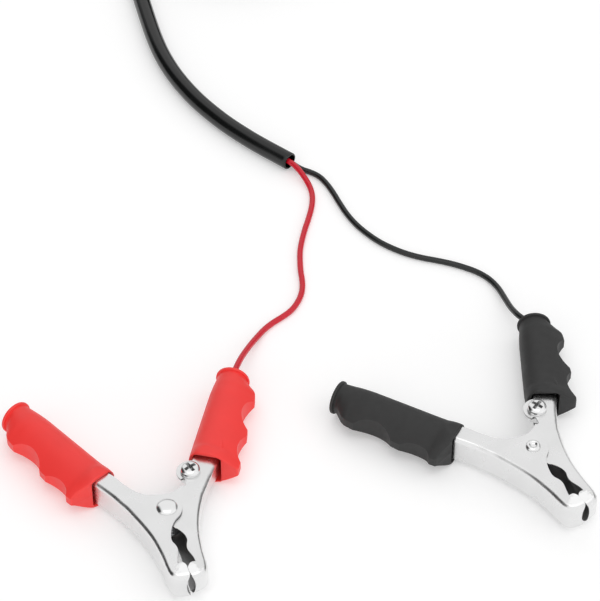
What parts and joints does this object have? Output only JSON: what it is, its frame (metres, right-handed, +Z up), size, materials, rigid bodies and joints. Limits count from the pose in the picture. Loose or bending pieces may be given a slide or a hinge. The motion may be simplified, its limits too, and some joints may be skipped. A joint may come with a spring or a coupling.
{
  "type": "battery charger clamp lead",
  "caption": "Battery charger output lead: a red and a black sprung battery clamp on the split cores of a round sheathed cable, coiled to a polarised connector.",
  "frame": {"origin": "on the surface that it lies on, below the middle of the box round both clamps, without the cable", "axes": "+Z up; the jaws point towards -Y; +X from the red clamp to the black clamp"},
  "size_m": [0.2386, 0.4937, 0.0171],
  "materials": {
    "plated_steel": "satin nickel plate",
    "bright_hardware": "bright plated",
    "spring_steel": "plain spring steel",
    "red_grip": "soft satin moulding",
    "black_grip": "soft matt moulding",
    "red_insulation": "smooth insulation",
    "black_insulation": "smooth insulation",
    "sheath": "glossy round sheath",
    "black_moulding": "satin moulding",
    "tinned_copper": "tinned",
    "contact_brass": "turned"
  },
  "bodies": {
    "lead_set": {"red_wire_lever": "plated_steel", "red_wire_grip": "red_grip", "red_pivot_rivet": "bright_hardware", "red_torsion_spring": "spring_steel", "red_terminal_screw": "bright_hardware", "red_screw_nut": "bright_hardware", "red_wire_lug": "tinned_copper", "red_lead_tail": "red_insulation", "black_wire_lever": "plated_steel", "black_wire_grip": "black_grip", "black_pivot_rivet": "bright_hardware", "black_torsion_spring": "spring_steel", "black_terminal_screw": "bright_hardware", "black_screw_nut": "bright_hardware", "black_wire_lug": "tinned_copper", "black_lead_tail": "black_insulation", "red_lead": "red_insulation", "black_lead": "black_insulation", "cable_coil": "sheath", "cable_sheath": "sheath", "coil_tie": "black_moulding", "cable_tail": "sheath", "strain_relief": "black_moulding", "connector_body": "black_moulding", "connector_pin": "contact_brass", "connector_socket": "contact_brass"},
    "red_free_arm": {"red_free_lever": "plated_steel", "red_free_grip": "red_grip"},
    "black_free_arm": {"black_free_lever": "plated_steel", "black_free_grip": "black_grip"}
  },
  "joints": [
    {"name": "red_jaw_pivot", "type": "hinge", "parent": "lead_set", "child": "red_free_arm", "pos_m": [-0.05027, -0.03598, 0.0084], "axis": [0, 0, -1], "range_deg": [0, 40], "stiffness_Nm_per_rad": 0.4, "springref_deg": -68.75, "deforming": ["red_torsion_spring"]},
    {"name": "black_jaw_pivot", "type": "hinge", "parent": "lead_set", "child": "black_free_arm", "pos_m": [0.09527, -0.00399, 0.0084], "axis": [0, 0, -1], "range_deg": [0, 40], "stiffness_Nm_per_rad": 0.4, "springref_deg": -68.75, "deforming": ["black_torsion_spring"]}
  ]
}
